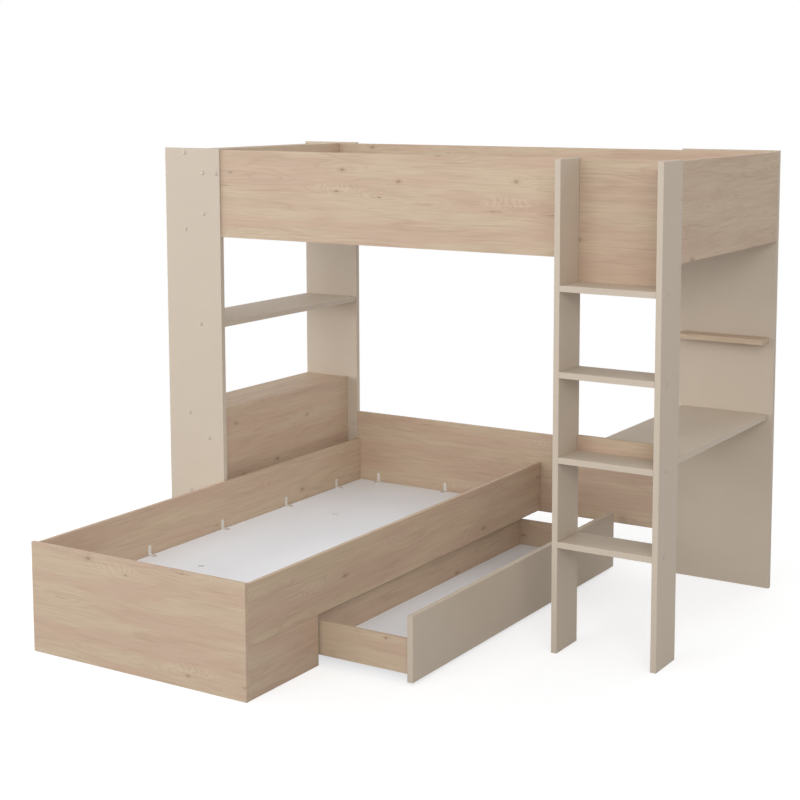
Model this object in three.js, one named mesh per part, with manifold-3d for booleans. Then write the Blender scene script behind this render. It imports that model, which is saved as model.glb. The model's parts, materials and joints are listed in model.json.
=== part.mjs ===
// Bunk bed with an L-shaped plan. A high bed runs along the wall over a desk, a low bed stands at
// right angles to it with a drawer on castors underneath, and a ladder and a shelf tower carry the
// high bed at its ends. Millimetres: +X runs along the high bed, +Y points to the wall, +Z is up.
import * as THREE from "three";
import { mergeVertices } from "three/addons/utils/BufferGeometryUtils.js";
import Module from "manifold-3d";

const wasm = await Module();
wasm.setup();

// Boards: thick plain ones carry, thin wood decor ones close and line
const thick = 22;
const thin = 16;
const easedEdge = 1;
const seam = 0.3;

// Mattress places, each a mattress and the play round it
const mattressWidth = 900;
const mattressLength = 2000;
const lowWidthPlay = 22;
const lowLengthPlay = 39;
const highWidthPlay = 37;
const highLengthPlay = 49;
const dropInPlay = 2;

// Shelf tower beside the low bed
const towerWidth = 282;
const nicheDepth = 188;
const nicheBoardLift = 15;
const nicheBoardDrop = 11;
const shelfRise = 1028;
const shelfSideGap = 4;
const nightstandDepth = 214;
const nightstandTopRise = 653;
const nightstandBottomRise = 325;
const nightstandLip = 2;

// Uprights and the high bed's sides
const postHeight = 1754;
const stileDrop = 2;
const sideDrop = 5;
const highSideHeight = 351;
const highBaseRise = 70;
const ledgerHeight = 30;
const ledgerWidth = 25;
const ledgerEndGap = 40;
const ledgerLift = 4;
const battenWidth = 70;
const battenHeight = 20;
const battenCount = 2;

// Ladder
const ladderWidth = 404;
const stileDepth = 162;
const rungCount = 4;
const rungsBelowDeskCount = 1;
const lowestRungTop = 407;
const topRungDrop = 82;
const rungBackInset = 6;
const beamHeight = 75;

// Low bed
const footHeight = 400;
const lowSideRise = 182;
const lowSideHeight = 211;
const lowBackRise = 176;
const lowBackHeight = 341;
const lowBaseTop = 202;
const legLength = 389;
const supportSlotPlay = 0.5;

// Breathing holes in a base board
const ventRadius = 12.5;
const ventRowStart = 580;
const ventRowPitch = 880;
const ventColumnPitch = 402;

// Desk under the high bed
const deskLedgeWidth = 79;
const deskLedgeRise = 996;

// Drawer, on castors, standing open
const drawerOpenGap = 245;
const drawerClosedGap = 2;
const drawerLegGap = 3;
const drawerWallGap = 73;
const drawerFrontRise = 10;
const drawerFrontHeight = 231;
const drawerBoxDepth = 423;
const drawerSideInset = 8;
const drawerSideRise = 35;
const drawerSideHeight = 121;
const drawerBottomLift = 6;
const drawerBottomThick = 7;

// Castors under the drawer
const castorInset = 150;
const castorSetback = 62;
const wheelRadius = 17;
const wheelWidth = 13;
const wheelTreadRound = 2;
const wheelRimHeight = 4;
const wheelWebDepth = 2.5;
const wheelHubRadius = 5.5;
const axleRadius = 2.5;
const axleHeadRadius = 4;
const axleHeadHeight = 1.5;
const castorPlateSize = 46;
const castorPlateHeight = 3;
const castorPlateRound = 5;
const castorCheek = 2.5;
const castorCheekGap = 1.2;
const castorCheekWidth = 30;
const castorBossRadius = 6.5;
const runningGap = 0.4;
const roundSteps = 32;

// Plastic corner clips between a base board and the sides
const clipWidth = 15;
const clipHeight = 38;
const clipReach = 38;
const clipWall = 3;
const clipFillet = 6;
const clipHoleRadius = 2.2;
const clipHoleRise = 26;
const sideClipShare = [0.286, 0.504, 0.717, 0.904];
const backClipShare = [0.11, 0.497];

// Planes across the bed, from the low bed's outer right side
const lowRight = 0;
const lowRightInner = lowRight - thin;
const lowLeftInner = lowRightInner - mattressWidth - lowWidthPlay;
const lowLeft = lowLeftInner - thin;
const towerLeft = lowLeft - towerWidth;
const highLeft = towerLeft + nicheDepth;
const highLeftInner = highLeft + thin;
const highRightInner = highLeftInner + mattressLength + highLengthPlay;
const highRight = highRightInner + thin;
const stileRightInner = highRight - thick;
const stileLeft = highRight - ladderWidth;
const stileLeftInner = stileLeft + thick;
const nightstandRight = towerLeft + nightstandDepth;

// Planes from the low bed's foot to the wall
const footFront = 0;
const footBack = footFront + thin;
const wallPostFront = footBack + mattressLength + lowLengthPlay;
const wallFace = wallPostFront + thick;
const highBackInner = wallPostFront - thin;
const highFrontInner = highBackInner - mattressWidth - highWidthPlay;
const highFront = highFrontInner - thin;
const postFront = highFrontInner - thick;
const stileFront = highFrontInner - stileDepth;

// Levels
const highSideTop = postHeight - sideDrop;
const highSideBottom = highSideTop - highSideHeight;
const ledgerBottom = highSideBottom + ledgerLift;
const ledgerTop = ledgerBottom + ledgerHeight;
const highBaseTop = highSideBottom + highBaseRise;
const nicheBottom = highSideBottom + nicheBoardLift;
const highestRungTop = highSideBottom - topRungDrop;
const rungPitch = (highestRungTop - lowestRungTop) / (rungCount - 1);
const deskTop = lowestRungTop + rungPitch * rungsBelowDeskCount;
const castorHeight = drawerSideRise + drawerBottomLift;

// Looks
const sandMelamine = { color: 0xd0c3b2, roughness: 0.55, metalness: 0 };
const knottyOak = { color: 0xc9b099, roughness: 0.6, metalness: 0 };
const whiteMelamine = { color: 0xe6e2dd, roughness: 0.5, metalness: 0 };
const pineBatten = { color: 0xd8bf98, roughness: 0.7, metalness: 0 };
const whiteNylon = { color: 0xe9e6e0, roughness: 0.45, metalness: 0 };
const blackNylon = { color: 0x2b2b2d, roughness: 0.5, metalness: 0 };
const greyTread = { color: 0x55565a, roughness: 0.65, metalness: 0 };
const zincSteel = { color: 0xb9bcbf, roughness: 0.35, metalness: 1 };

const middle = ([low, high]) => (low + high) / 2;
const length = ([low, high]) => high - low;

// The two axes of a board's face, and the way that its face is turned from the drawing plane
const faces = {
  xy: { across: "x", up: "y", through: "z", basis: [[1, 0, 0], [0, 1, 0], [0, 0, 1]] },
  xz: { across: "x", up: "z", through: "y", basis: [[1, 0, 0], [0, 0, 1], [0, -1, 0]] },
  yz: { across: "y", up: "z", through: "x", basis: [[0, 1, 0], [0, 0, 1], [1, 0, 0]] },
};

function turnTo(mesh, basis) {
  const axes = basis.map((axis) => new THREE.Vector3(...axis));
  mesh.quaternion.setFromRotationMatrix(new THREE.Matrix4().makeBasis(...axes));
}

function named(name, geometry, finish) {
  const mesh = new THREE.Mesh(geometry, new THREE.MeshStandardMaterial(finish));
  mesh.name = name;
  return mesh;
}

// A board cut to size with eased edges. Its face may have an outline and round holes of its own,
// drawn in the bed's axes, and it is placed at the middle of its span.
function board(name, face, span, finish, { outline, holes = [] } = {}) {
  const { across, up, through, basis } = faces[face];
  const [left, right] = span[across];
  const [bottom, top] = span[up];
  const corners = outline ?? [[left, bottom], [right, bottom], [right, top], [left, top]];
  const shift = ([a, b]) => new THREE.Vector2(a - middle(span[across]), b - middle(span[up]));
  const shape = new THREE.Shape(corners.map(shift));
  for (const { at, radius } of holes) {
    const centre = shift(at);
    shape.holes.push(new THREE.Path().absarc(centre.x, centre.y, radius, 0, 2 * Math.PI));
  }
  const flat = length(span[through]) - 2 * easedEdge;
  const geometry = new THREE.ExtrudeGeometry(shape, {
    depth: flat,
    bevelThickness: easedEdge,
    bevelSize: easedEdge,
    bevelOffset: -easedEdge,
    bevelSegments: 2,
    curveSegments: roundSteps / 4,
  }).translate(0, 0, -flat / 2);
  const mesh = named(name, geometry, finish);
  turnTo(mesh, basis);
  mesh.position.set(middle(span.x), middle(span.y), middle(span.z));
  return mesh;
}

function group(...members) {
  return new THREE.Group().add(...members);
}

// Solids for joining and cutting
function solid(geometry) {
  const bare = geometry.clone().deleteAttribute("normal").deleteAttribute("uv");
  const { attributes, index } = mergeVertices(bare);
  return new wasm.Manifold(new wasm.Mesh({
    numProp: 3,
    vertProperties: attributes.position.array,
    triVerts: new Uint32Array(index.array),
  }));
}

function geometryOf(made) {
  const { vertProperties, triVerts } = made.getMesh();
  const geometry = new THREE.BufferGeometry();
  geometry.setAttribute("position", new THREE.BufferAttribute(vertProperties, 3));
  geometry.setIndex(new THREE.BufferAttribute(triVerts, 1));
  const facets = geometry.toNonIndexed();
  facets.computeVertexNormals();
  return facets;
}

// Uprights: two wide posts of the tower, and the panel that stands behind the desk
function uprights() {
  const tower = { x: [towerLeft, lowLeft - seam], z: [0, postHeight] };
  const panel = { x: [stileLeft, highRight], z: [0, postHeight] };
  return group(
    board("front_left_post", "xz", { ...tower, y: [postFront, highFrontInner] }, sandMelamine),
    board("back_left_post", "xz", { ...tower, y: [wallPostFront, wallFace] }, sandMelamine),
    board("back_right_panel", "xz", { ...panel, y: [wallPostFront, wallFace] }, sandMelamine),
  );
}

// Ladder: two stiles that also carry the high bed, its rungs, a beam that the desk hangs on, and the
// panel that closes the high bed's front between the stiles. A rung with a board behind it is shorter.
function ladder() {
  const y = [stileFront, highFrontInner - seam];
  const z = [0, postHeight - stileDrop];
  const rungSpan = [stileLeftInner + seam, stileRightInner - seam];
  const boardY = [highFront, highFrontInner - seam];
  const made = group(
    board("ladder_left_stile", "yz", { x: [stileLeft, stileLeftInner], y, z }, sandMelamine),
    board("ladder_right_stile", "yz", { x: [stileRightInner, highRight], y, z }, sandMelamine),
    board("ladder_beam", "xz",
      { x: rungSpan, y: boardY, z: [deskTop - thick, deskTop - thick + beamHeight] }, knottyOak),
    board("ladder_top_panel", "xz",
      { x: rungSpan, y: boardY, z: [highestRungTop - thick, highSideTop] }, knottyOak),
  );
  for (let i = 0; i < rungCount; i++) {
    const top = lowestRungTop + rungPitch * i;
    const shortened = i === rungsBelowDeskCount || i === rungCount - 1;
    const back = shortened ? highFront - seam : highFrontInner - rungBackInset;
    made.add(board(`ladder_rung_${i + 1}`, "xy", {
      x: rungSpan,
      y: [stileFront, back],
      z: [top - thick, top],
    }, sandMelamine));
  }
  return made;
}

// High bed: four sides, and a base board on cross battens that lie on two ledgers
function highBed() {
  const z = [highSideBottom, highSideTop];
  const endY = [highFrontInner + seam, wallPostFront - seam];
  const made = group(
    board("upper_front_rail", "xz", {
      x: [lowLeft + seam, stileLeft - seam],
      y: [highFront, highFrontInner],
      z,
    }, knottyOak),
    board("upper_back_rail", "xz", {
      x: [highLeftInner + seam, highRightInner - seam],
      y: [highBackInner, wallPostFront - seam],
      z,
    }, knottyOak),
    board("upper_left_end", "yz", { x: [highLeft, highLeftInner], y: endY, z }, knottyOak),
    board("upper_right_end", "yz", { x: [highRightInner, highRight], y: endY, z }, knottyOak),
  );

  const ledgerX = [lowLeft + ledgerEndGap, stileRightInner - ledgerEndGap];
  const ledgerZ = [ledgerBottom, ledgerTop];
  const frontY = [highFrontInner + seam, highFrontInner + ledgerWidth];
  const backY = [highBackInner - ledgerWidth, highBackInner - seam];
  made.add(
    board("upper_front_ledger", "xz", { x: ledgerX, y: frontY, z: ledgerZ }, pineBatten),
    board("upper_back_ledger", "xz", { x: ledgerX, y: backY, z: ledgerZ }, pineBatten),
  );

  const bayWidth = length(ledgerX) / battenCount;
  const battenY = [highFrontInner + dropInPlay, highBackInner - dropInPlay];
  const battenZ = [ledgerTop + seam, ledgerTop + battenHeight];
  for (let i = 0; i < battenCount; i++) {
    const centre = ledgerX[0] + bayWidth * (i + 1 / 2);
    made.add(board(`upper_base_batten_${i + 1}`, "xy", {
      x: [centre - battenWidth / 2, centre + battenWidth / 2],
      y: battenY,
      z: battenZ,
    }, pineBatten));
  }

  const vents = ventHoles(highLeftInner + ventRowStart, (highFrontInner + highBackInner) / 2)
    .map(([x, y]) => ({ at: [x, y], radius: ventRadius }));
  made.add(board("upper_base_board", "xy", {
    x: [highLeftInner + dropInPlay, highRightInner - dropInPlay],
    y: battenY,
    z: [battenZ[1] + seam, highBaseTop],
  }, whiteMelamine, { holes: vents }));
  return made;
}

// Two rows of two holes: first along a board's length, then across it
function ventHoles(rowStart, centre) {
  return [0, 1].flatMap((row) => [-1, 1].map((side) => [
    rowStart + ventRowPitch * row,
    centre + side * ventColumnPitch / 2,
  ]));
}

// Tower: a niche level with the high bed, an open shelf, and a night-stand box by the low bed
function tower() {
  const y = [highFrontInner + seam, wallPostFront - seam];
  const nicheX = [towerLeft, highLeft - seam];
  const standX = [towerLeft, nightstandRight - seam];
  const nicheTop = postHeight - nicheBoardDrop;
  const standTop = nightstandTopRise + thick;
  return group(
    board("niche_top_board", "xy", { x: nicheX, y, z: [nicheTop - thick, nicheTop] }, knottyOak),
    board("niche_bottom_board", "xy",
      { x: nicheX, y, z: [nicheBottom, nicheBottom + thick] }, knottyOak),
    board("tower_shelf", "xy", {
      x: [towerLeft + shelfSideGap, lowLeft - shelfSideGap],
      y,
      z: [shelfRise, shelfRise + thick],
    }, sandMelamine),
    board("nightstand_top", "xy", { x: standX, y, z: [nightstandTopRise, standTop] }, knottyOak),
    board("nightstand_bottom", "xy",
      { x: standX, y, z: [nightstandBottomRise, nightstandBottomRise + thick] }, knottyOak),
    board("nightstand_face", "yz", {
      x: [nightstandRight, nightstandRight + thin],
      y,
      z: [nightstandBottomRise, standTop + nightstandLip],
    }, knottyOak),
  );
}

// Low bed: its foot, sides, back and short legs, and a base board over two crossed supports.
// The supports are halved into each other, one slotted from the top and one from the bottom.
function lowBed() {
  const sideY = [footBack + seam, wallPostFront - seam];
  const sideZ = [lowSideRise, lowSideRise + lowSideHeight];
  const legY = [footBack + seam, footBack + legLength];
  const legZ = [0, lowSideRise - seam];
  const leftX = [lowLeft, lowLeftInner];
  const rightX = [lowRightInner, lowRight];

  const supportTop = lowBaseTop - thin - seam;
  const centre = (lowLeftInner + lowRightInner) / 2;
  const supportX = [centre - thin / 2, centre + thin / 2];
  const crossY = [legY[1] - thin, legY[1]];
  const crossX = [lowLeftInner + seam, lowRightInner - seam];
  const halving = supportTop / 2;
  const slot = ([low, high]) => [low - supportSlotPlay, high + supportSlotPlay];
  const [slotNear, slotFar] = slot(crossY);
  const [slotLeft, slotRight] = slot(supportX);
  const slottedFromTop = [
    [sideY[0], 0], [sideY[1], 0], [sideY[1], supportTop], [slotFar, supportTop],
    [slotFar, halving - seam / 2], [slotNear, halving - seam / 2],
    [slotNear, supportTop], [sideY[0], supportTop],
  ];
  const slottedFromBottom = [
    [crossX[0], 0], [slotLeft, 0], [slotLeft, halving + seam / 2],
    [slotRight, halving + seam / 2], [slotRight, 0], [crossX[1], 0],
    [crossX[1], supportTop], [crossX[0], supportTop],
  ];

  const vents = ventHoles(footBack + ventRowStart, centre)
    .map(([y, x]) => ({ at: [x, y], radius: ventRadius }));
  return group(
    board("lower_foot_panel", "xz",
      { x: [lowLeft, lowRight], y: [footFront, footBack], z: [0, footHeight] }, knottyOak),
    board("lower_left_rail", "yz", { x: leftX, y: sideY, z: sideZ }, knottyOak),
    board("lower_right_rail", "yz", { x: rightX, y: sideY, z: sideZ }, knottyOak),
    board("lower_left_leg", "yz", { x: leftX, y: legY, z: legZ }, knottyOak),
    board("lower_right_leg", "yz", { x: rightX, y: legY, z: legZ }, knottyOak),
    board("lower_back_panel", "xz", {
      x: [lowLeft + seam, stileLeft - seam],
      y: [wallPostFront, wallPostFront + thin],
      z: [lowBackRise, lowBackRise + lowBackHeight],
    }, knottyOak),
    board("lower_centre_support", "yz",
      { x: supportX, y: sideY, z: [0, supportTop] }, whiteMelamine, { outline: slottedFromTop }),
    board("lower_cross_support", "xz",
      { x: crossX, y: crossY, z: [0, supportTop] }, whiteMelamine, { outline: slottedFromBottom }),
    board("lower_base_board", "xy", {
      x: [lowLeftInner + dropInPlay, lowRightInner - dropInPlay],
      y: [footBack + dropInPlay, wallPostFront - dropInPlay],
      z: [lowBaseTop - thin, lowBaseTop],
    }, whiteMelamine, { holes: vents }),
  );
}

// A moulded corner clip: an L with a filleted inside corner and a screw hole in each leg.
// It lies in the bed's XZ plane with its corner at the origin and its foot along +X.
function clipGeometry() {
  const profile = new THREE.Shape();
  profile.moveTo(0, 0);
  profile.lineTo(clipReach, 0);
  profile.lineTo(clipReach, clipWall);
  profile.lineTo(clipWall + clipFillet, clipWall);
  profile.absarc(clipWall + clipFillet, clipWall + clipFillet, clipFillet,
    -Math.PI / 2, -Math.PI, true);
  profile.lineTo(clipWall, clipHeight);
  profile.lineTo(0, clipHeight);
  profile.closePath();
  const angle = new THREE.ExtrudeGeometry(profile, {
    depth: clipWidth,
    bevelEnabled: false,
    curveSegments: roundSteps / 8,
  }).translate(0, 0, -clipWidth / 2).rotateX(Math.PI / 2);
  const drill = new THREE.CylinderGeometry(clipHoleRadius, clipHoleRadius, 4 * clipWall,
    roundSteps / 2);
  const footHole = drill.clone().rotateX(Math.PI / 2).translate(clipHoleRise, 0, 0);
  const wallHole = drill.clone().rotateZ(Math.PI / 2).translate(0, 0, clipHoleRise);
  return geometryOf(solid(angle).subtract(solid(footHole)).subtract(solid(wallHole)));
}

// Clips hold the low base board down: their feet lie on it, and their walls on the side or the back
function baseClips() {
  const geometry = clipGeometry();
  const level = lowBaseTop + seam;
  const run = wallPostFront - footBack;
  const width = lowRightInner - lowLeftInner;
  const againstSide = [[1, 0, 0], [0, 1, 0], [0, 0, 1]];
  const againstBack = [[0, -1, 0], [1, 0, 0], [0, 0, 1]];
  const places = [
    ...sideClipShare.map((share) => (
      { basis: againstSide, x: lowLeftInner + seam, y: footBack + run * share })),
    ...backClipShare.map((share) => (
      { basis: againstBack, x: lowLeftInner + width * share, y: wallPostFront - seam })),
  ];
  return group(...places.map(({ basis, x, y }, i) => {
    const clip = named(`base_clip_${i + 1}`, geometry, whiteNylon);
    turnTo(clip, basis);
    clip.position.set(x, y, level);
    return clip;
  }));
}

// Desk: its top lies between the beam and the wall panel, with a narrow ledge above it
function desk() {
  const x = [stileLeftInner, stileRightInner];
  return group(
    board("desk_top", "xy", {
      x,
      y: [highFrontInner, wallPostFront - seam],
      z: [deskTop - thick, deskTop],
    }, sandMelamine),
    board("desk_ledge", "xy", {
      x,
      y: [wallPostFront - deskLedgeWidth, wallPostFront - seam],
      z: [deskLedgeRise, deskLedgeRise + thick],
    }, knottyOak),
  );
}

// A castor wheel: a turned section with a rounded tread, a thin web and a hub with its bore
function wheelGeometry() {
  const half = wheelWidth / 2;
  const web = half - wheelWebDepth;
  const bore = axleRadius + runningGap;
  const rim = wheelRadius - wheelRimHeight;
  const rounding = wheelTreadRound * (1 - Math.SQRT1_2);
  const upper = [
    [bore, half], [wheelHubRadius, half], [wheelHubRadius, web], [rim, web], [rim, half],
    [wheelRadius - wheelTreadRound, half], [wheelRadius - rounding, half - rounding],
    [wheelRadius, half - wheelTreadRound],
  ];
  const lower = upper.toReversed().map(([radius, height]) => [radius, -height]);
  const profile = [...upper, ...lower, upper[0]].map(([r, h]) => new THREE.Vector2(r, h));
  return new THREE.LatheGeometry(profile.toReversed(), roundSteps);
}

// A riveted axle: a plain pin with a domed head at each end, along Y
function axleGeometry(reach) {
  const headStart = reach / 2;
  const dome = headStart + axleHeadHeight;
  const upper = [
    [0, dome], [axleHeadRadius * Math.SQRT1_2, headStart + axleHeadHeight * Math.SQRT1_2],
    [axleHeadRadius, headStart], [axleRadius, headStart],
  ];
  const lower = upper.toReversed().map(([radius, height]) => [radius, -height]);
  const profile = [...upper, ...lower].map(([r, h]) => new THREE.Vector2(r, h));
  return new THREE.LatheGeometry(profile.toReversed(), roundSteps / 2);
}

// A castor housing: a plate with round corners and two tapered cheeks that end in a boss round
// the axle. Its origin is the middle of the axle.
function housingGeometry() {
  const top = castorHeight - wheelRadius - seam;
  const plateBottom = top - castorPlateHeight;
  const half = castorPlateSize / 2;
  const inner = half - castorPlateRound;
  const outline = new THREE.Shape();
  outline.moveTo(-inner, -half);
  outline.absarc(inner, -inner, castorPlateRound, -Math.PI / 2, 0);
  outline.absarc(inner, inner, castorPlateRound, 0, Math.PI / 2);
  outline.absarc(-inner, inner, castorPlateRound, Math.PI / 2, Math.PI);
  outline.absarc(-inner, -inner, castorPlateRound, Math.PI, 3 * Math.PI / 2);
  const plate = new THREE.ExtrudeGeometry(outline, {
    depth: castorPlateHeight,
    bevelEnabled: false,
    curveSegments: roundSteps / 8,
  }).translate(0, 0, plateBottom);

  const cheek = new THREE.Shape();
  cheek.moveTo(-castorCheekWidth / 2, plateBottom + castorPlateHeight / 2);
  cheek.lineTo(-castorBossRadius, 0);
  cheek.absarc(0, 0, castorBossRadius, Math.PI, 2 * Math.PI);
  cheek.lineTo(castorCheekWidth / 2, plateBottom + castorPlateHeight / 2);
  cheek.closePath();
  cheek.holes.push(new THREE.Path().absarc(0, 0, axleRadius + seam, 0, 2 * Math.PI));
  const cheekStart = wheelWidth / 2 + castorCheekGap;
  const wall = new THREE.ExtrudeGeometry(cheek, {
    depth: castorCheek,
    bevelEnabled: false,
    curveSegments: roundSteps / 4,
  }).rotateX(Math.PI / 2);
  const near = wall.clone().translate(0, -cheekStart, 0);
  const far = wall.clone().translate(0, cheekStart + castorCheek, 0);
  return geometryOf(solid(plate).add(solid(near)).add(solid(far)));
}

// The drawer is drawn closed under the low bed, and the whole of it is then pulled out as far as
// the gap that it leaves to the ladder
function drawer() {
  const frontX = [lowRight + drawerClosedGap, lowRight + drawerClosedGap + thick];
  const boxX = [frontX[0] - drawerBoxDepth, frontX[0] - seam];
  const frontY = [footBack + legLength + drawerLegGap, wallPostFront - drawerWallGap];
  const boxY = [frontY[0] + drawerSideInset, frontY[1] - drawerSideInset];
  const sideZ = [drawerSideRise, drawerSideRise + drawerSideHeight];
  const innerY = [boxY[0] + thin + seam, boxY[1] - thin - seam];
  const made = group(
    board("drawer_front", "yz", {
      x: frontX,
      y: frontY,
      z: [drawerFrontRise, drawerFrontRise + drawerFrontHeight],
    }, sandMelamine),
    board("drawer_near_side", "xz",
      { x: boxX, y: [boxY[0], boxY[0] + thin], z: sideZ }, knottyOak),
    board("drawer_far_side", "xz",
      { x: boxX, y: [boxY[1] - thin, boxY[1]], z: sideZ }, knottyOak),
    board("drawer_back", "yz",
      { x: [boxX[0], boxX[0] + thin], y: innerY, z: sideZ }, knottyOak),
    board("drawer_bottom", "xy", {
      x: [boxX[0] + thin + seam, boxX[1]],
      y: innerY,
      z: [castorHeight, castorHeight + drawerBottomThick],
    }, whiteMelamine),
  );

  const axleReach = wheelWidth + 2 * (castorCheekGap + castorCheek + seam);
  const housing = housingGeometry();
  const wheel = wheelGeometry();
  const axle = axleGeometry(axleReach);
  const places = [boxX[1] - castorSetback, boxX[0] + castorSetback]
    .flatMap((x) => [boxY[0] + castorInset, boxY[1] - castorInset].map((y) => [x, y]));
  places.forEach(([x, y], i) => {
    const castor = group(
      named(`castor_housing_${i + 1}`, housing, blackNylon),
      named(`castor_wheel_${i + 1}`, wheel, greyTread),
      named(`castor_axle_${i + 1}`, axle, zincSteel),
    );
    castor.position.set(x, y, wheelRadius);
    made.add(castor);
  });
  made.position.x = stileLeft - drawerOpenGap - frontX[1];
  return made;
}

// The origin is on the floor, at the middle of the whole footprint
const bunkBed = group(
  uprights(), ladder(), highBed(), tower(), lowBed(), baseClips(), desk(), drawer(),
);
bunkBed.name = "bunk_bed";
bunkBed.position.set(-(towerLeft + highRight) / 2, -(footFront + wallFace) / 2, 0);

export default bunkBed;
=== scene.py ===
"""Finishes, fasteners, camera and studio for a bunk bed whose boards, ladder and drawer are the
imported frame. Everything is in the frame's own axes, and in metres where no comment says
millimetres."""

import json
import math

import bmesh
import bpy
from bpy.props import FloatProperty, FloatVectorProperty, PointerProperty
from mathutils import Euler, Matrix, Vector


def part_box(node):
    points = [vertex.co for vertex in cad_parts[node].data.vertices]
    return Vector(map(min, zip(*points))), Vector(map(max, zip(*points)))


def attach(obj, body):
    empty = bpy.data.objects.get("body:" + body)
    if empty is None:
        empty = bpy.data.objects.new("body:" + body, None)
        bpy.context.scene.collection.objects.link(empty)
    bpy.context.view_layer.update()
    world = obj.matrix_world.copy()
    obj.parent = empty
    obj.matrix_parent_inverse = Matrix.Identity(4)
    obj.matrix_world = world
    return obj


bl_info = {
    "name": "Bunk bed looks",
    "version": (1, 0, 0),
    "blender": (4, 5, 0),
    "location": "3D View > Sidebar > Bunk bed",
    "description": "Board finishes, clips, screw caps, camera and studio of the bunk bed",
    "category": "Object",
}

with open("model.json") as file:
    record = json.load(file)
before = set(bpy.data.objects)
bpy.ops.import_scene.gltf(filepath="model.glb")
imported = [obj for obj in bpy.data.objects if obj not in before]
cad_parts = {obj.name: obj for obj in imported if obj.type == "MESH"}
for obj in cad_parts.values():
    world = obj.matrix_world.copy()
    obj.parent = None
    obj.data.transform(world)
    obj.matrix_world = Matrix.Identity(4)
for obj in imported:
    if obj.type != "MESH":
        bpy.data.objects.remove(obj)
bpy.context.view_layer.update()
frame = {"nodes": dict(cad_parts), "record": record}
nodes = frame["nodes"]

MM = 0.001
AXES = ("X", "Y", "Z")
RING_STEPS = 24
# Rungs of the ladder, and clips of the frame along the low bed's left side
RUNGS = 4
SIDE_CLIPS = 4

# Oak decor: lengths along the grain and across it, in millimetres
BANDS = (600, 60)
STROKES = (300, 9)
VEINS = (130, 4)
GROWTH_WANDER = (900, 120)
GROWTH_PATCHES = (260, 50)
KNOT_SHAPE = (1.8, 1.0)
KNOT_RAGS = (16, 7)
KNOT_SWELL = (190, 42)
KNOT_HAIR = (55, 2.4)
FIGURE = (155, 24)
FIGURE_LOOP = (27, 15)
FIGURE_WAVER = (70, 26)
# How far a knot's ragged edge strays, where the loops of a figure start from, and how many of them
# it wavers over
KNOT_STRAY = (18.0, 9.0, 0.0)
FIGURE_END = (90.0, 0.0, 0.0)
FIGURE_DRIFT = 3.6
# Growth lines are contours: how far the field rises by one, how many contours it wanders over, and
# the mean distance between two of them
GROWTH_RISE = 60
GROWTH_DRIFT = 6.0
CONTOUR_SPACING = 13
# How far apart two boards may lie on their sheet of decor, in metres
SHEET_SPREAD = (7.3, 3.1, 1.9)

# Colours of the small parts
LATE_PINE = "b98d5c"
BLACK_NYLON = "2b2b2d"
GREY_TREAD = "5b5c60"
CLIP_NYLON = "e0dad2"
CAP_PLASTIC_AND_SHADE = "beb0a0"
# The caps' colour is darker than the sand boards: partly their own greyer plastic, partly painted
# shade over the whole disc
BRIGHT_ZINC = ("c3c7ca", "a2a6a8")
YELLOW_ZINC = ("b59a84", "937862")

# Profiles of a cap and a screw head, as shares of radius and rise, and of the head's cross recess,
# as shares of radius, half-width and rise
CAP_PROFILE = ((1, 0), (1, 0.2), (0.9, 0.55), (0.7, 0.82), (0.4, 1))
HEAD_PROFILE = ((1, 0), (1, 0.35), (0.9, 0.8), (0.72, 1))
RECESS_PROFILE = ((0.5, 0.15, 1), (0.4, 0.1, 0.35))

# Places of caps and clips, in millimetres. Those on the tower's posts are in from the outer edge
# and up from the floor, as all heights are.
POST_CAPS = ((101, 1735), (197, 1655), (264, 1653), (197, 1489), (101, 1424), (173, 1036),
             (107, 663), (207, 564), (107, 336))
INNER_POST_CAP = (263, 460)
RUNG_CAP_INSET = 57
PANEL_CAP_HEIGHTS = (1622, 1392)
END_CAP_HEIGHTS = (1640, 1510)
# From the clip nearest the foot to the next, from the right rail to the last clip along the back,
# and from a clip's corner to the screw in its foot
NEAR_CLIP_GAP = 430
LAST_CLIP_INSET = 101
CLIP_SCREW = (28, 0, 3)

# Studio, in metres, with the camera's angles in degrees and its sensor in millimetres
LAMP_PLACES = {
    "key": (5.4, -6.4, 4.2),
    "front": (-1.5, -8.3, 3.9),
    "window": (-8.7, -1.5, 2.4),
    "back": (1.6, 7.6, 5.3),
}
LAMP_TARGET = (0, 0, 0.8)
LAMP_SIZE = (4.5, 3.5)
LAMP_COLOUR = (0.96, 0.98, 1.0)
FLOOR_RADIUS = 14.0
FLOOR_SEGMENTS = 96
FLOOR_DROP = 0.2 * MM
FLOOR_FADE = (1.9, 3.2)
CAMERA_PLACE = (3.2632, -5.0365, 1.9814)
CAMERA_PITCH = 6.67
CAMERA_TURN = 31.318
CAMERA_SHIFT = (-0.0468, -0.15)
SENSOR_WIDTH = 36.0


def linear(hex_colour):
    """Turns an sRGB hex value into the linear colour that shaders use."""
    channels = [int(hex_colour[i:i + 2], 16) / 255 for i in (0, 2, 4)]
    return tuple(c / 12.92 if c <= 0.04045 else ((c + 0.055) / 1.055) ** 2.4 for c in channels)


def colour(name, description, hex_colour):
    return FloatVectorProperty(
        name=name, description=description, subtype="COLOR", size=3, min=0, max=1,
        default=linear(hex_colour))


def size(name, description, millimetres):
    return FloatProperty(
        name=name, description=description, default=millimetres * MM, min=0, precision=4,
        unit="LENGTH")


def power(name, where, watts):
    return FloatProperty(
        name=name, description=f"Power of the soft lamp {where}", default=watts, min=0,
        unit="POWER")


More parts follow.
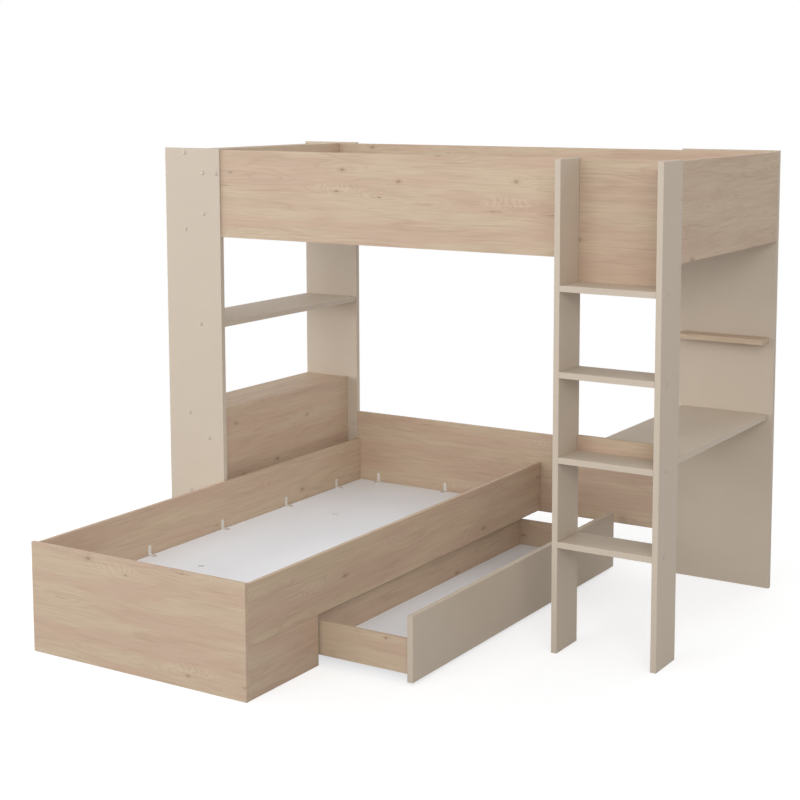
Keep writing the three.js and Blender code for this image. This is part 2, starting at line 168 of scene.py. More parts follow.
class BoardFinish(bpy.types.PropertyGroup):
    sand: colour("Sand", "Plain sand-beige melamine", "c7b8a6")
    straw: colour("Oak, straw", "Yellowish streaks of the oak decor", "c8b399")
    rose: colour("Oak, rose", "Pinkish streaks of the oak decor", "c3a892")
    growth: colour("Oak, growth lines", "Lines and fine streaks of the oak decor", "a88d76")
    knot: colour("Oak, knots", "Heart of a knot in the oak decor", "87674e")
    flame: colour("Oak, flames", "Light loops of the flamed figures", "d9c7b2")
    white: colour("White", "White melamine of the base boards", "f9fbff")
    # The edge colour is painted shade: a greyer white on the white boards' edges and in their
    # holes
    edge: colour("White, edges", "Primed edges and holes of the white boards", "dddbd8")
    pine: colour("Pine", "Planed softwood of the battens", "dcc39c")
    line_spacing: size("Growth line spacing", "Mean distance between two growth lines", 10)
    knot_spacing: size("Knot spacing", "Mean distance between two knots", 250)
    figure_spacing: size("Figure spacing", "Mean distance between two flamed figures", 520)


class FastenerSizes(bpy.types.PropertyGroup):
    cap_diameter: size("Cap diameter", "Caps of the screws in posts, stiles and panels", 17)
    cap_rise: size("Cap rise", "How far a cap stands out of its board", 2)
    head_diameter: size("Screw head diameter", "Heads in the feet of the low base's clips", 7)
    head_rise: size("Screw head rise", "How far a screw head stands up", 1.3)


class StudioSettings(bpy.types.PropertyGroup):
    key_power: power("Key light", "in front on the right", 222)
    front_power: power("Front light", "in front", 185)
    window_power: power("Window light", "on the left", 510)
    back_power: power("Back light", "behind", 120)
    sky: FloatProperty(
        name="Sky", description="Strength of the even light from all round", default=0.57, min=0)
    backdrop: colour("Backdrop", "Colour of what lies behind the bed", "ffffff")
    floor: colour("Floor", "Colour of the matt floor", "b8b8b8")
    floor_lift: FloatProperty(
        name="Floor lift", description="Glow that brings the lit floor up to the backdrop",
        default=0.64, min=0)
    lens: FloatProperty(
        name="Lens", description="Focal length of the camera", default=72.48, min=1,
        unit="CAMERA")


def add_node(tree, kind, inputs=None, **settings):
    """Adds one node with its settings. inputs gives an input, by name or number, its value, or the
    node or output that feeds it."""
    node = tree.nodes.new(kind)
    for key, value in settings.items():
        setattr(node, key, value)
    for key, source in (inputs or {}).items():
        if isinstance(source, bpy.types.Node):
            source = source.outputs[0]
        if isinstance(source, bpy.types.NodeSocket):
            tree.links.new(source, node.inputs[key])
        else:
            node.inputs[key].default_value = source
    return node


def empty_tree(owner):
    """The node tree of a new material or world, with nothing in it."""
    owner.use_nodes = True
    owner.node_tree.nodes.clear()
    return owner.node_tree


def new_material(name, roughness, ior=1.5, metallic=0.0):
    """An opaque surface. Returns the material, its nodes and its shader."""
    material = bpy.data.materials.new(name)
    tree = empty_tree(material)
    shader = add_node(tree, "ShaderNodeBsdfPrincipled", {
        "Roughness": roughness, "IOR": ior, "Metallic": metallic})
    add_node(tree, "ShaderNodeOutputMaterial", {"Surface": shader})
    return material, tree, shader


def sheet_place(tree, along, across, through):
    """Where a point lies on its own sheet of decor: along the grain, across it and into it. Each
    board is cut from another part of the sheet."""
    point = add_node(tree, "ShaderNodeTexCoord")
    parts = add_node(tree, "ShaderNodeSeparateXYZ", {"Vector": point.outputs["Object"]})
    turned = add_node(tree, "ShaderNodeCombineXYZ", {
        "X": parts.outputs[along], "Y": parts.outputs[across], "Z": parts.outputs[through]})
    piece = add_node(tree, "ShaderNodeObjectInfo")
    start = add_node(tree, "ShaderNodeVectorMath", {
        0: SHEET_SPREAD, "Scale": piece.outputs["Random"]}, operation="SCALE")
    return add_node(tree, "ShaderNodeVectorMath", {0: turned, 1: start}, operation="ADD")


def streaks(tree, place, long, wide, detail=2.0):
    """Noise in patches that measure long by wide, in millimetres."""
    spread = add_node(tree, "ShaderNodeVectorMath", {
        0: place, 1: (1 / (long * MM), 1 / (wide * MM), 1 / (wide * MM))}, operation="MULTIPLY")
    return add_node(tree, "ShaderNodeTexNoise", {
        "Vector": spread, "Scale": 1.0, "Detail": detail, "Roughness": 0.55})


def marks(tree, place, spacing):
    """Marks strewn over the decor, one to every square of the spacing. Returns the way to the
    nearest one in millimetres and three random shares of its own."""
    cells = add_node(tree, "ShaderNodeVectorMath", {
        0: place, 1: (1 / spacing,) * 3}, operation="MULTIPLY")
    nearest = add_node(tree, "ShaderNodeTexVoronoi", {
        "Vector": cells, "Scale": 1.0, "Randomness": 0.9}, voronoi_dimensions="2D")
    away = add_node(tree, "ShaderNodeVectorMath", {
        0: cells, 1: nearest.outputs["Position"]}, operation="SUBTRACT")
    away = add_node(tree, "ShaderNodeVectorMath", {
        0: away, 1: (spacing / MM, spacing / MM, 0.0)}, operation="MULTIPLY")
    own = add_node(tree, "ShaderNodeSeparateColor", {"Color": nearest.outputs["Color"]})
    return away, own


def reach(tree, away, long, wide):
    """How far out a point lies from a mark: 1 on an ellipse of these half-lengths, in
    millimetres."""
    share = add_node(tree, "ShaderNodeVectorMath", {
        0: away, 1: (1 / long, 1 / wide, 0.0)}, operation="MULTIPLY")
    return add_node(tree, "ShaderNodeVectorMath", {0: share}, operation="LENGTH").outputs["Value"]


def add_grain(tree, shader, grain, gloss, strength, depth, contrast=(0.3, 0.7)):
    """Lets a grain vary the roughness and stand out of the surface, by a depth in millimetres."""
    rough = add_node(tree, "ShaderNodeMapRange", {
        "Value": grain, "From Min": contrast[0], "From Max": contrast[1], "To Min": gloss[0],
        "To Max": gloss[1]})
    tree.links.new(rough.outputs[0], shader.inputs["Roughness"])
    emboss = add_node(tree, "ShaderNodeBump", {
        "Strength": strength, "Distance": depth * MM, "Height": grain})
    tree.links.new(emboss.outputs[0], shader.inputs["Normal"])


def oak_melamine(look, along, across, through):
    """Chipboard faced with a printed and softly embossed knotty-oak decor."""
    # Satin, with long straw and rose streaks, faint growth lines that part round the knots, flamed
    # figures, and fine streaks that are drawn 4 mm wide because the real 1 mm ones wouldn't show
    material, tree, shader = new_material(f"knotty_oak_melamine_{along}{across}".lower(), 0.62)
    place = sheet_place(tree, along, across, through)

    # Knots: a small ragged heart, a soft ring drawn out along the grain, and a dark hair through
    # the bigger ones
    away, own = marks(tree, place, look.knot_spacing)
    ragged = streaks(tree, place, *KNOT_RAGS, detail=3.0)
    ragged = add_node(tree, "ShaderNodeVectorMath", {
        0: ragged.outputs["Color"], 1: (0.5, 0.5, 0.5)}, operation="SUBTRACT")
    ragged = add_node(tree, "ShaderNodeVectorMath", {
        0: ragged, 1: KNOT_STRAY}, operation="MULTIPLY")
    away = add_node(tree, "ShaderNodeVectorMath", {0: away, 1: ragged}, operation="ADD")
    radius = add_node(tree, "ShaderNodeMapRange", {
        "Value": own.outputs[0], "From Min": 0.3, "From Max": 1.0, "To Min": 0.4, "To Max": 6.0})
    share = add_node(tree, "ShaderNodeMath", {
        0: reach(tree, away, *KNOT_SHAPE), 1: radius}, operation="DIVIDE")
    heart = add_node(tree, "ShaderNodeMapRange", {
        "Value": share, "From Min": 1.5, "From Max": 0.4, "To Min": 0.0, "To Max": 0.6},
        interpolation_type="SMOOTHSTEP")
    ring = add_node(tree, "ShaderNodeMapRange", {
        "Value": share, "From Min": 3.6, "From Max": 1.0, "To Min": 0.0, "To Max": 0.34},
        interpolation_type="SMOOTHSTEP")
    swell = add_node(tree, "ShaderNodeMapRange", {
        "Value": reach(tree, away, *KNOT_SWELL), "From Min": 1.0, "From Max": 0.0, "To Min": 0.0,
        "To Max": 1.8}, interpolation_type="SMOOTHSTEP")
    deep = add_node(tree, "ShaderNodeMapRange", {
        "Value": own.outputs[1], "From Min": 0.45, "From Max": 0.7, "To Min": 0.0, "To Max": 0.55})
    hair = add_node(tree, "ShaderNodeMapRange", {
        "Value": reach(tree, away, *KNOT_HAIR), "From Min": 1.0, "From Max": 0.1, "To Min": 0.0,
        "To Max": deep}, interpolation_type="SMOOTHSTEP")

    # Growth lines: contours of a slow field that rises across the grain and swells at a knot
    slow = streaks(tree, place, *GROWTH_WANDER, detail=3.0)
    rise = add_node(tree, "ShaderNodeVectorMath", {
        0: place, 1: (0.0, 1 / (GROWTH_RISE * MM), 0.0)}, operation="DOT_PRODUCT")
    field = add_node(tree, "ShaderNodeMath", {
        0: slow, 1: GROWTH_DRIFT, 2: rise.outputs["Value"]}, operation="MULTIPLY_ADD")
    field = add_node(tree, "ShaderNodeMath", {0: field, 1: swell}, operation="ADD")
    lines = add_node(tree, "ShaderNodeMath", {
        0: field, 1: CONTOUR_SPACING * MM / look.line_spacing}, operation="MULTIPLY")
    lines = add_node(tree, "ShaderNodeMath", {0: lines, 1: 0.5}, operation="PINGPONG")
    lines = add_node(tree, "ShaderNodeMapRange", {
        "Value": lines, "From Min": 0.15, "From Max": 0.5, "To Min": 0.0, "To Max": 1.0},
        interpolation_type="SMOOTHSTEP")
    patches = add_node(tree, "ShaderNodeMapRange", {
        "Value": streaks(tree, place, *GROWTH_PATCHES), "From Min": 0.4, "From Max": 0.66,
        "To Min": 0.06, "To Max": 0.29}, interpolation_type="SMOOTHSTEP")
    lines = add_node(tree, "ShaderNodeMath", {0: lines, 1: patches}, operation="MULTIPLY")

    # Flamed figures: light loops that open from one end of a patch with a faded edge
    apart, _ = marks(tree, place, look.figure_spacing)
    end = add_node(tree, "ShaderNodeVectorMath", {0: apart, 1: FIGURE_END}, operation="ADD")
    loops = add_node(tree, "ShaderNodeMath", {
        0: streaks(tree, place, *FIGURE_WAVER), 1: FIGURE_DRIFT,
        2: reach(tree, end, *FIGURE_LOOP)}, operation="MULTIPLY_ADD")
    loops = add_node(tree, "ShaderNodeMath", {0: loops, 1: 0.5}, operation="PINGPONG")
    patch = add_node(tree, "ShaderNodeMapRange", {
        "Value": reach(tree, apart, *FIGURE), "From Min": 1.0, "From Max": 0.5, "To Min": 0.0,
        "To Max": 0.27}, interpolation_type="SMOOTHSTEP")
    flame = add_node(tree, "ShaderNodeMapRange", {
        "Value": loops, "From Min": 0.15, "From Max": 0.5, "To Min": 0.0, "To Max": patch},
        interpolation_type="SMOOTHSTEP")

    # Colour: streaks, then lines, then the knots on top
    tone = add_node(tree, "ShaderNodeMapRange", {
        "Value": streaks(tree, place, *BANDS), "From Min": 0.36, "From Max": 0.64,
        "To Min": 0.0, "To Max": 1.0}, interpolation_type="SMOOTHSTEP")
    paint = add_node(tree, "ShaderNodeMix", {
        0: tone.outputs[0], 6: (*look.straw, 1.0), 7: (*look.rose, 1.0)}, data_type="RGBA")
    fine = streaks(tree, place, *VEINS)
    veins = add_node(tree, "ShaderNodeMapRange", {
        "Value": fine, "From Min": 0.42, "From Max": 0.78, "To Min": 0.0, "To Max": 0.4})
    strokes = add_node(tree, "ShaderNodeMapRange", {
        "Value": streaks(tree, place, *STROKES), "From Min": 0.6, "From Max": 0.72, "To Min": 0.0,
        "To Max": 0.3}, interpolation_type="SMOOTHSTEP")
    for amount, tint in ((lines, look.growth), (veins, look.growth), (strokes, look.growth),
                         (flame, look.flame), (ring, look.growth), (hair, look.knot),
                         (heart, look.knot)):
        paint = add_node(tree, "ShaderNodeMix", {
            0: amount, 6: paint.outputs[2], 7: (*tint, 1.0)}, data_type="RGBA")
    tree.links.new(paint.outputs[2], shader.inputs["Base Color"])

    add_grain(tree, shader, fine, (0.57, 0.68), strength=0.25, depth=0.12, contrast=(0.2, 0.8))
    return material


def plain_melamine(name, tint, roughness, grit, cloud=0.04):
    """Chipboard faced with plain melamine, pressed against a finely grained plate. Returns the
    material, its nodes, its shader and the node of its colour."""
    # An even colour with the slightest cloudiness, and a satin gloss broken by the plate's grain,
    # which is drawn a little coarser than the real 0.3 mm
    material, tree, shader = new_material(name, roughness)
    point = add_node(tree, "ShaderNodeTexCoord")
    clouds = streaks(tree, point.outputs["Object"], 140, 90, detail=3.0)
    darker = add_node(tree, "ShaderNodeMapRange", {
        "Value": clouds, "From Min": 0.35, "From Max": 0.75, "To Min": 0.0, "To Max": cloud})
    paint = add_node(tree, "ShaderNodeMix", {
        0: darker.outputs[0], 6: (*tint, 1.0), 7: (*(c * 0.5 for c in tint), 1.0)},
        data_type="RGBA")
    tree.links.new(paint.outputs[2], shader.inputs["Base Color"])
    grain = streaks(tree, point.outputs["Object"], grit, grit, detail=1.0)
    add_grain(tree, shader, grain, (roughness - 0.04, roughness + 0.06), strength=0.2, depth=0.05)
    return material, tree, shader, paint


def white_melamine_edge_shade(look, along, across, through):
    """White-faced board, with a greyer white painted on its edges and in its holes as shade."""
    # Cool white faces, and on the edges and in the holes a duller, greyer white: painted shade,
    # which darkens the vent holes
    material, tree, shader, paint = plain_melamine(
        f"white_melamine_{through}".lower(), look.white, roughness=0.5, grit=1.0, cloud=0.02)
    point = add_node(tree, "ShaderNodeTexCoord")
    parts = add_node(tree, "ShaderNodeSeparateXYZ", {"Vector": point.outputs["Normal"]})
    level = add_node(tree, "ShaderNodeMath", {0: parts.outputs[through]}, operation="ABSOLUTE")
    # Painted shade: every face that doesn't face through the board, edges and hole walls alike,
    # gets the greyer white
    edge = add_node(tree, "ShaderNodeMath", {0: level, 1: 0.5}, operation="LESS_THAN")
    paint = add_node(tree, "ShaderNodeMix", {
        0: edge, 6: paint.outputs[2], 7: (*look.edge, 1.0)}, data_type="RGBA")
    tree.links.new(paint.outputs[2], shader.inputs["Base Color"])
    return material


def planed_pine(look, along, across, through):
    """Softwood batten, planed and left bare."""
    # Dull, with straight honey-coloured growth lines about 4 mm apart and the planer's silky sheen
    material, tree, shader = new_material(f"planed_pine_{along}{across}".lower(), 0.6)
    place = sheet_place(tree, along, across, through)
    rings = streaks(tree, place, 900, 4)
    late = add_node(tree, "ShaderNodeMapRange", {
        "Value": rings, "From Min": 0.42, "From Max": 0.62, "To Min": 0.0, "To Max": 0.5},
        interpolation_type="SMOOTHSTEP")
    paint = add_node(tree, "ShaderNodeMix", {
        0: late.outputs[0], 6: (*look.pine, 1.0), 7: (*linear(LATE_PINE), 1.0)}, data_type="RGBA")
    tree.links.new(paint.outputs[2], shader.inputs["Base Color"])
    emboss = add_node(tree, "ShaderNodeBump", {
        "Strength": 0.3, "Distance": 0.15 * MM, "Height": rings})
    tree.links.new(emboss.outputs[0], shader.inputs["Normal"])
    return material


def moulded_plastic(name, hex_colour, roughness, grit):
    """Polyamide or polyethylene, injection moulded in a spark-eroded mould."""
    # Even colour and a fine matt grain that keeps the highlights soft
    material, tree, shader = new_material(name, roughness, ior=1.53)
    point = add_node(tree, "ShaderNodeTexCoord")
    grain = streaks(tree, point.outputs["Object"], grit, grit)
    tint = linear(hex_colour)
    shade = add_node(tree, "ShaderNodeMapRange", {
        "Value": grain, "From Min": 0.3, "From Max": 0.7, "To Min": 0.0, "To Max": 0.12})
    paint = add_node(tree, "ShaderNodeMix", {
        0: shade.outputs[0], 6: (*tint, 1.0), 7: (*(c * 0.6 for c in tint), 1.0)},
        data_type="RGBA")
    tree.links.new(paint.outputs[2], shader.inputs["Base Color"])
    add_grain(tree, shader, grain, (roughness - 0.06, roughness + 0.06), strength=0.3, depth=0.08)
    return material


def plated_steel(name, bright, dull):
    """Mild steel, cold headed and zinc plated."""
    # A metal whose clouded plating varies in tint and gloss
    material, tree, shader = new_material(name, 0.32, metallic=1.0)
    point = add_node(tree, "ShaderNodeTexCoord")
    clouds = streaks(tree, point.outputs["Object"], 3, 3, detail=3.0)
    paint = add_node(tree, "ShaderNodeMix", {
        0: clouds, 6: (*linear(bright), 1.0), 7: (*linear(dull), 1.0)}, data_type="RGBA")
    tree.links.new(paint.outputs[2], shader.inputs["Base Color"])
    gloss = add_node(tree, "ShaderNodeMapRange", {
        "Value": clouds, "From Min": 0.3, "From Max": 0.7, "To Min": 0.25, "To Max": 0.42})
    tree.links.new(gloss.outputs[0], shader.inputs["Roughness"])
    return material


def nodes_of(slot):
    """Names of the boards and fittings that the record finishes alike."""
    return [s["node"] for s in frame["record"]["subparts"] if s["material_slot"] == slot]


def finish(node, material):
    for slot in nodes[node].material_slots:
        slot.material = material


def grain_axes(node):
    """Along, across and through the board: grain always runs level, along its longer side."""
    low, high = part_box(node)
    sizes = dict(zip(AXES, high - low))
    through = min(sizes, key=sizes.get)
    along = max((a for a in ("X", "Y") if a != through), key=sizes.get)
    across = next(a for a in AXES if a not in (along, through))
    return along, across, through


def finish_by_grain(slot, make, look):
    made = {}
    for node in nodes_of(slot):
        axes = grain_axes(node)
        if axes not in made:
            made[axes] = make(look, *axes)
        finish(node, made[axes])


def loft(rings):
    """A closed form through rings of points, lowest first."""
    form = bmesh.new()
    loops = [[form.verts.new(point) for point in ring] for ring in rings]
    for lower, upper in zip(loops, loops[1:]):
        for i, start in enumerate(lower):
            j = (i + 1) % len(lower)
            form.faces.new((start, lower[j], upper[j], upper[i]))
    form.faces.new(loops[0][::-1])
    form.faces.new(loops[-1])
    return form


def circle(radius, height):
    turns = [2 * math.pi * i / RING_STEPS for i in range(RING_STEPS)]
    return [(radius * math.cos(t), radius * math.sin(t), height) for t in turns]


def cross(arm, half_width, height):
    """Outline of a cross recess, with as many points as a circle."""
    ring = []
    for i in range(RING_STEPS):
        turn = 2 * math.pi * (i + 0.5) / RING_STEPS
        c, s = abs(math.cos(turn)), abs(math.sin(turn))
        radius = max(min(arm / c, half_width / s), min(arm / s, half_width / c))
        ring.append((radius * math.cos(turn), radius * math.sin(turn), height))
    return ring


def screw_cap(sizes):
    """A pressed-in cap: a low dome with a rounded rim."""
    radius, rise = sizes.cap_diameter / 2, sizes.cap_rise
    return loft([circle(radius * out, rise * up) for out, up in CAP_PROFILE])


def screw_head(sizes):
    """A pan head with a cross recess."""
    radius, rise = sizes.head_diameter / 2, sizes.head_rise
    outside = [circle(radius * out, rise * up) for out, up in HEAD_PROFILE]
    recess = [cross(radius * arm, radius * half, rise * up) for arm, half, up in RECESS_PROFILE]
    return loft(outside + recess)


def mesh_of(name, form):
    """Turns a form into a mesh and frees it."""
    mesh = bpy.data.meshes.new(name)
    form.to_mesh(mesh)
    form.free()
    return mesh


def add_object(name, data):
    thing = bpy.data.objects.new(name, data)
    bpy.context.collection.objects.link(thing)
    return thing


def repeated(form, places):
    """One form with a copy at every place."""
    shape = mesh_of("shape", form)
    many = bmesh.new()
    for place in places:
        before = len(many.verts)
        many.from_mesh(shape)
        many.verts.ensure_lookup_table()
        bmesh.ops.transform(many, matrix=place, verts=many.verts[before:])
    bpy.data.meshes.remove(shape)
    return many


def facing(point, normal):
    """The place of a form that stands on a face at the point."""
    turn = Vector(normal).to_track_quat("Z", "Y").to_matrix().to_4x4()
    return Matrix.Translation(point) @ turn


def add_piece(name, form, material, smooth=True):
    """Makes a new piece of the fixed body from a form."""
    mesh = mesh_of(name, form)
    mesh.polygons.foreach_set("use_smooth", [smooth] * len(mesh.polygons))
    mesh.materials.append(material)
    piece = add_object(name, mesh)
    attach(piece, "frame")
    return piece


def sideways(left_x, right_x, spots):
    """Places on the left and right outer faces at each spot, which gives y and z."""
    places = []
    for y, z in spots:
        places.append(facing((left_x, y, z), (-1, 0, 0)))
        places.append(facing((right_x, y, z), (1, 0, 0)))
    return places


def post_cap_places():
    """Caps on the tower's posts, at each board that ends on a post."""
    front_low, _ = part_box("front_left_post")
    back_low, back_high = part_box("back_left_post")
    places = []
    for across, up in POST_CAPS:
        x, z = front_low.x + across * MM, up * MM
        places.append(facing((x, front_low.y, z), (0, -1, 0)))
        places.append(facing((x, back_high.y, z), (0, 1, 0)))
    across, up = INNER_POST_CAP
    places.append(facing((front_low.x + across * MM, back_low.y, up * MM), (0, -1, 0)))
    return places


def ladder_cap_places():
    """Caps on the stiles' outer faces at each rung and at the panel between their tops."""
    left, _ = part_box("ladder_left_stile")
    low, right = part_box("ladder_right_stile")
    panel_low, panel_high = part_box("ladder_top_panel")
    spots = []
    for i in range(1, RUNGS + 1):
        rung_low, rung_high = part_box(f"ladder_rung_{i}")
        spots.append((low.y + RUNG_CAP_INSET * MM, (rung_low.z + rung_high.z) / 2))
    panel_y = (panel_low.y + panel_high.y) / 2
    spots += [(panel_y, up * MM) for up in PANEL_CAP_HEIGHTS]
    return sideways(left.x, right.x, spots)


def end_cap_places():
    """Caps on the high bed's ends, where its back rail meets them."""
    left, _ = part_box("upper_left_end")
    _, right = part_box("upper_right_end")
    rail_low, rail_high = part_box("upper_back_rail")
    y = (rail_low.y + rail_high.y) / 2
    return sideways(left.x, right.x, [(y, up * MM) for up in END_CAP_HEIGHTS])


def clip_place(x, y, z, turn):
    """A clip's place: its corner, and the turn from +X of the way that its foot reaches."""
    return Matrix.Translation((x, y, z)) @ Matrix.Rotation(turn, 4, "Z")


def clip_places():
    """Places of the CAD clips, then of the clips that only the looks have."""
    boxes = [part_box(node) for node in nodes_of("white_nylon")]
    side_low, _ = boxes[0]
    _, back_high = boxes[SIDE_CLIPS]
    right_low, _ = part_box("lower_right_rail")
    _, left_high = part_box("lower_left_rail")
    right_x = right_low.x - (side_low.x - left_high.x)
    ys = [(low.y + high.y) / 2 for low, high in boxes[:SIDE_CLIPS]]
    xs = [(low.x + high.x) / 2 for low, high in boxes[SIDE_CLIPS:]]
    nearest = ys[0] - NEAR_CLIP_GAP * MM
    last = right_low.x - LAST_CLIP_INSET * MM
    z = side_low.z
    carried = [clip_place(side_low.x, y, z, 0) for y in ys]
    carried += [clip_place(x, back_high.y, z, -math.pi / 2) for x in xs]
    added = [clip_place(side_low.x, nearest, z, 0), clip_place(last, back_high.y, z, -math.pi / 2)]
    added += [clip_place(right_x, y, z, math.pi) for y in [nearest, *ys]]
    return carried, added


class BUNKBED_OT_sand_boards(bpy.types.Operator):
    """Give posts, stiles, rungs, shelf, desk top and drawer front their sand melamine"""

    bl_idname = "bunkbed.sand_boards"
    bl_label = "Sand boards"

    def execute(self, context):
        look = context.scene.board_finish
        melamine, *_ = plain_melamine("sand_melamine", look.sand, roughness=0.6, grit=1.2)
        for node in nodes_of("sand_melamine"):
            finish(node, melamine)
        return {"FINISHED"}


class BUNKBED_OT_oak_boards(bpy.types.Operator):
    """Give rails, panels, boxes and drawer sides their knotty-oak decor"""

    bl_idname = "bunkbed.oak_boards"
    bl_label = "Oak boards"

    def execute(self, context):
        finish_by_grain("knotty_oak", oak_melamine, context.scene.board_finish)
        return {"FINISHED"}


class BUNKBED_OT_white_boards(bpy.types.Operator):
    """Give the base boards, their supports and the drawer's bottom their white melamine"""

    bl_idname = "bunkbed.white_boards"
    bl_label = "White boards"

    def execute(self, context):
        finish_by_grain("white_melamine", white_melamine_edge_shade, context.scene.board_finish)
        return {"FINISHED"}


class BUNKBED_OT_battens(bpy.types.Operator):
    """Give the ledgers and battens under the high base their planed pine"""

    bl_idname = "bunkbed.battens"
    bl_label = "Battens"

    def execute(self, context):
        finish_by_grain("pine_batten", planed_pine, context.scene.board_finish)
        return {"FINISHED"}


class BUNKBED_OT_castors(bpy.types.Operator):
    """Give the castors their nylon housings, grey treads and zinc-plated axles"""

    bl_idname = "bunkbed.castors"
    bl_label = "Castors"

    def execute(self, context):
        looks = {
            "black_nylon": moulded_plastic("black_nylon", BLACK_NYLON, roughness=0.45, grit=0.8),
            "grey_tread": moulded_plastic("grey_nylon_tread", GREY_TREAD, roughness=0.6, grit=1.2),
            "zinc_steel": plated_steel("bright_zinc_plated_axle", *BRIGHT_ZINC),
        }
        for slot, material in looks.items():
            for node in nodes_of(slot):
                finish(node, material)
        return {"FINISHED"}


class BUNKBED_OT_clips(bpy.types.Operator):
    """Finish the corner clips of the low base, add the others and put a screw in every foot"""

    bl_idname = "bunkbed.clips"
    bl_label = "Clips"

    def execute(self, context):
        nylon = moulded_plastic("white_nylon", CLIP_NYLON, roughness=0.4, grit=0.8)
        clips = nodes_of("white_nylon")
        for node in clips:
            finish(node, nylon)
        carried, added = clip_places()
        shape = bmesh.new()
        shape.from_mesh(nodes[clips[0]].data)
        shape.transform(carried[0].inverted())
        add_piece("more_base_clips", repeated(shape, added), nylon, smooth=False)

        sizes = context.scene.fastener_sizes
        foot = facing([c * MM for c in CLIP_SCREW], (0, 0, 1))
        places = [clip @ foot for clip in carried + added]
        add_piece("base_screws", repeated(screw_head(sizes), places),
                  plated_steel("yellow_zinc_plated_screw", *YELLOW_ZINC))
        return {"FINISHED"}


class BUNKBED_OT_caps(bpy.types.Operator):
    """Put the caps on the screws that hold the boards to the posts, stiles and ends"""

    bl_idname = "bunkbed.caps"
    bl_label = "Screw caps"

    def execute(self, context):
        # The caps' plastic is darker than the boards, partly as painted shade
        plastic = moulded_plastic("sand_polyethylene_cap", CAP_PLASTIC_AND_SHADE, roughness=0.5, grit=0.8)
        sizes = context.scene.fastener_sizes
        for name, places in (("post_caps", post_cap_places()),
                             ("ladder_caps", ladder_cap_places()),
                             ("end_caps", end_cap_places())):
            add_piece(name, repeated(screw_cap(sizes), places), plastic)
        return {"FINISHED"}


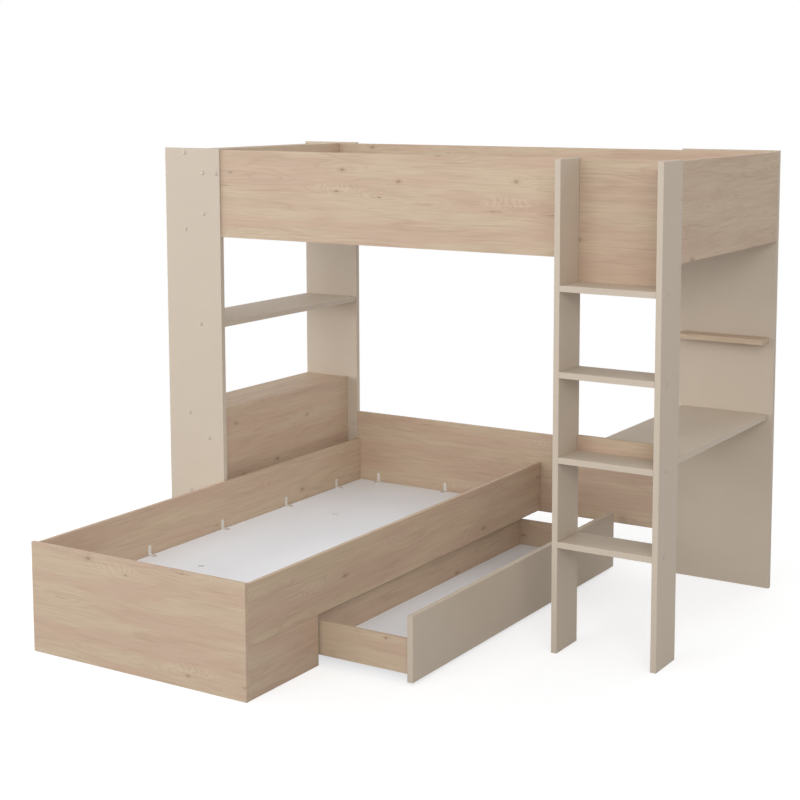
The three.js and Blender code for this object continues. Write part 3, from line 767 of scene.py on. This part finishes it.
class BUNKBED_OT_stage(bpy.types.Operator):
    """Set up the pale floor, the backdrop, the soft lamps and the camera"""

    bl_idname = "bunkbed.stage"
    bl_label = "Stage"

    def execute(self, context):
        scene = context.scene
        studio = scene.studio_settings
        scene.world = self.backdrop(studio)

        form = bmesh.new()
        bmesh.ops.create_circle(
            form, cap_ends=True, segments=FLOOR_SEGMENTS, radius=FLOOR_RADIUS)
        mesh = mesh_of("floor", form)
        mesh.materials.append(self.floor_material(studio))
        floor = add_object("floor", mesh)
        floor.location = (0, 0, -FLOOR_DROP)

        for name, place in LAMP_PLACES.items():
            self.soft_lamp(name, getattr(studio, f"{name}_power"), place)
        scene.camera = self.camera(studio)
        scene.view_settings.view_transform = "Standard"
        return {"FINISHED"}

    def backdrop(self, studio):
        """An even surround that lights the bed less than it shows."""
        world = bpy.data.worlds.new("studio")
        tree = empty_tree(world)
        strength = add_node(tree, "ShaderNodeMapRange", {
            "Value": self.seen(tree), "To Min": studio.sky, "To Max": 1.0})
        light = add_node(tree, "ShaderNodeBackground", {
            "Color": (*studio.backdrop, 1.0), "Strength": strength})
        add_node(tree, "ShaderNodeOutputWorld", {"Surface": light})
        return world

    def soft_lamp(self, name, watts, place):
        """A large lamp, a touch cooler than white, aimed at the bed's middle."""
        light = bpy.data.lights.new(name, "AREA")
        light.shape = "RECTANGLE"
        light.size, light.size_y = LAMP_SIZE
        light.color = LAMP_COLOUR
        light.energy = watts
        lamp = add_object(name, light)
        lamp.location = place
        aim = Vector(LAMP_TARGET) - lamp.location
        lamp.rotation_euler = aim.to_track_quat("-Z", "Y").to_euler()

    def camera(self, studio):
        lens = bpy.data.cameras.new("camera")
        lens.lens = studio.lens
        lens.sensor_width = SENSOR_WIDTH
        lens.shift_x, lens.shift_y = CAMERA_SHIFT
        camera = add_object("camera", lens)
        camera.location = CAMERA_PLACE
        camera.rotation_euler = Euler(
            (math.radians(90 - CAMERA_PITCH), 0, math.radians(CAMERA_TURN)), "XYZ")
        return camera

    def seen(self, tree):
        """1 for what the camera sees, directly, in a gloss or through glass."""
        path = add_node(tree, "ShaderNodeLightPath")
        gloss = add_node(tree, "ShaderNodeMath", {
            0: path.outputs["Is Camera Ray"], 1: path.outputs["Is Glossy Ray"]},
            operation="MAXIMUM")
        return add_node(tree, "ShaderNodeMath", {
            0: gloss, 1: path.outputs["Is Transmission Ray"]}, operation="MAXIMUM")

    def floor_material(self, studio):
        """Matt white floor that keeps the bed's shadow and fades into the backdrop far away."""
        material = bpy.data.materials.new("white_studio_floor")
        tree = empty_tree(material)
        seen = self.seen(tree)
        white = (*studio.backdrop, 1.0)
        matt = add_node(tree, "ShaderNodeBsdfDiffuse", {"Color": (*studio.floor, 1.0)})
        lift = add_node(tree, "ShaderNodeMath", {0: seen, 1: studio.floor_lift},
                        operation="MULTIPLY")
        glow = add_node(tree, "ShaderNodeEmission", {"Color": white, "Strength": lift})
        near = add_node(tree, "ShaderNodeAddShader", {0: matt, 1: glow})
        far = add_node(tree, "ShaderNodeEmission", {"Color": white, "Strength": 1.0})
        point = add_node(tree, "ShaderNodeTexCoord")
        away = add_node(tree, "ShaderNodeVectorMath", {0: point.outputs["Object"]},
                        operation="LENGTH")
        fade = add_node(tree, "ShaderNodeMapRange", {
            "Value": away.outputs["Value"], "From Min": FLOOR_FADE[0], "From Max": FLOOR_FADE[1],
            "To Min": 0.0, "To Max": 1.0}, interpolation_type="SMOOTHSTEP")
        fade = add_node(tree, "ShaderNodeMath", {0: fade, 1: seen}, operation="MULTIPLY")
        surface = add_node(tree, "ShaderNodeMixShader", {0: fade, 1: near, 2: far})
        add_node(tree, "ShaderNodeOutputMaterial", {"Surface": surface})
        return material


class BUNKBED_PT_looks(bpy.types.Panel):
    """Sizes, colours and steps of the bunk bed's looks"""

    bl_idname = "BUNKBED_PT_looks"
    bl_label = "Bunk bed"
    bl_space_type = "VIEW_3D"
    bl_region_type = "UI"
    bl_category = "Bunk bed"

    def draw(self, context):
        scene = context.scene
        for group in (scene.board_finish, scene.fastener_sizes, scene.studio_settings):
            column = self.layout.column(align=True)
            for name in group.__annotations__:
                column.prop(group, name)
        for step in STEPS:
            self.layout.operator(step.bl_idname)


GROUPS = {
    "board_finish": BoardFinish,
    "fastener_sizes": FastenerSizes,
    "studio_settings": StudioSettings,
}
STEPS = (
    BUNKBED_OT_stage,
    BUNKBED_OT_sand_boards,
    BUNKBED_OT_oak_boards,
    BUNKBED_OT_white_boards,
    BUNKBED_OT_battens,
    BUNKBED_OT_castors,
    BUNKBED_OT_clips,
    BUNKBED_OT_caps,
)
CLASSES = (*GROUPS.values(), *STEPS, BUNKBED_PT_looks)


def register():
    for cls in CLASSES:
        bpy.utils.register_class(cls)
    for name, group in GROUPS.items():
        setattr(bpy.types.Scene, name, PointerProperty(type=group))


def unregister():
    for name in GROUPS:
        delattr(bpy.types.Scene, name)
    for cls in reversed(CLASSES):
        bpy.utils.unregister_class(cls)


def main():
    register()
    for step in STEPS:
        module, name = step.bl_idname.split(".")
        if getattr(getattr(bpy.ops, module), name)() != {"FINISHED"}:
            raise RuntimeError(f"{step.bl_idname} didn't finish")


if __name__ == "__main__":
    main()
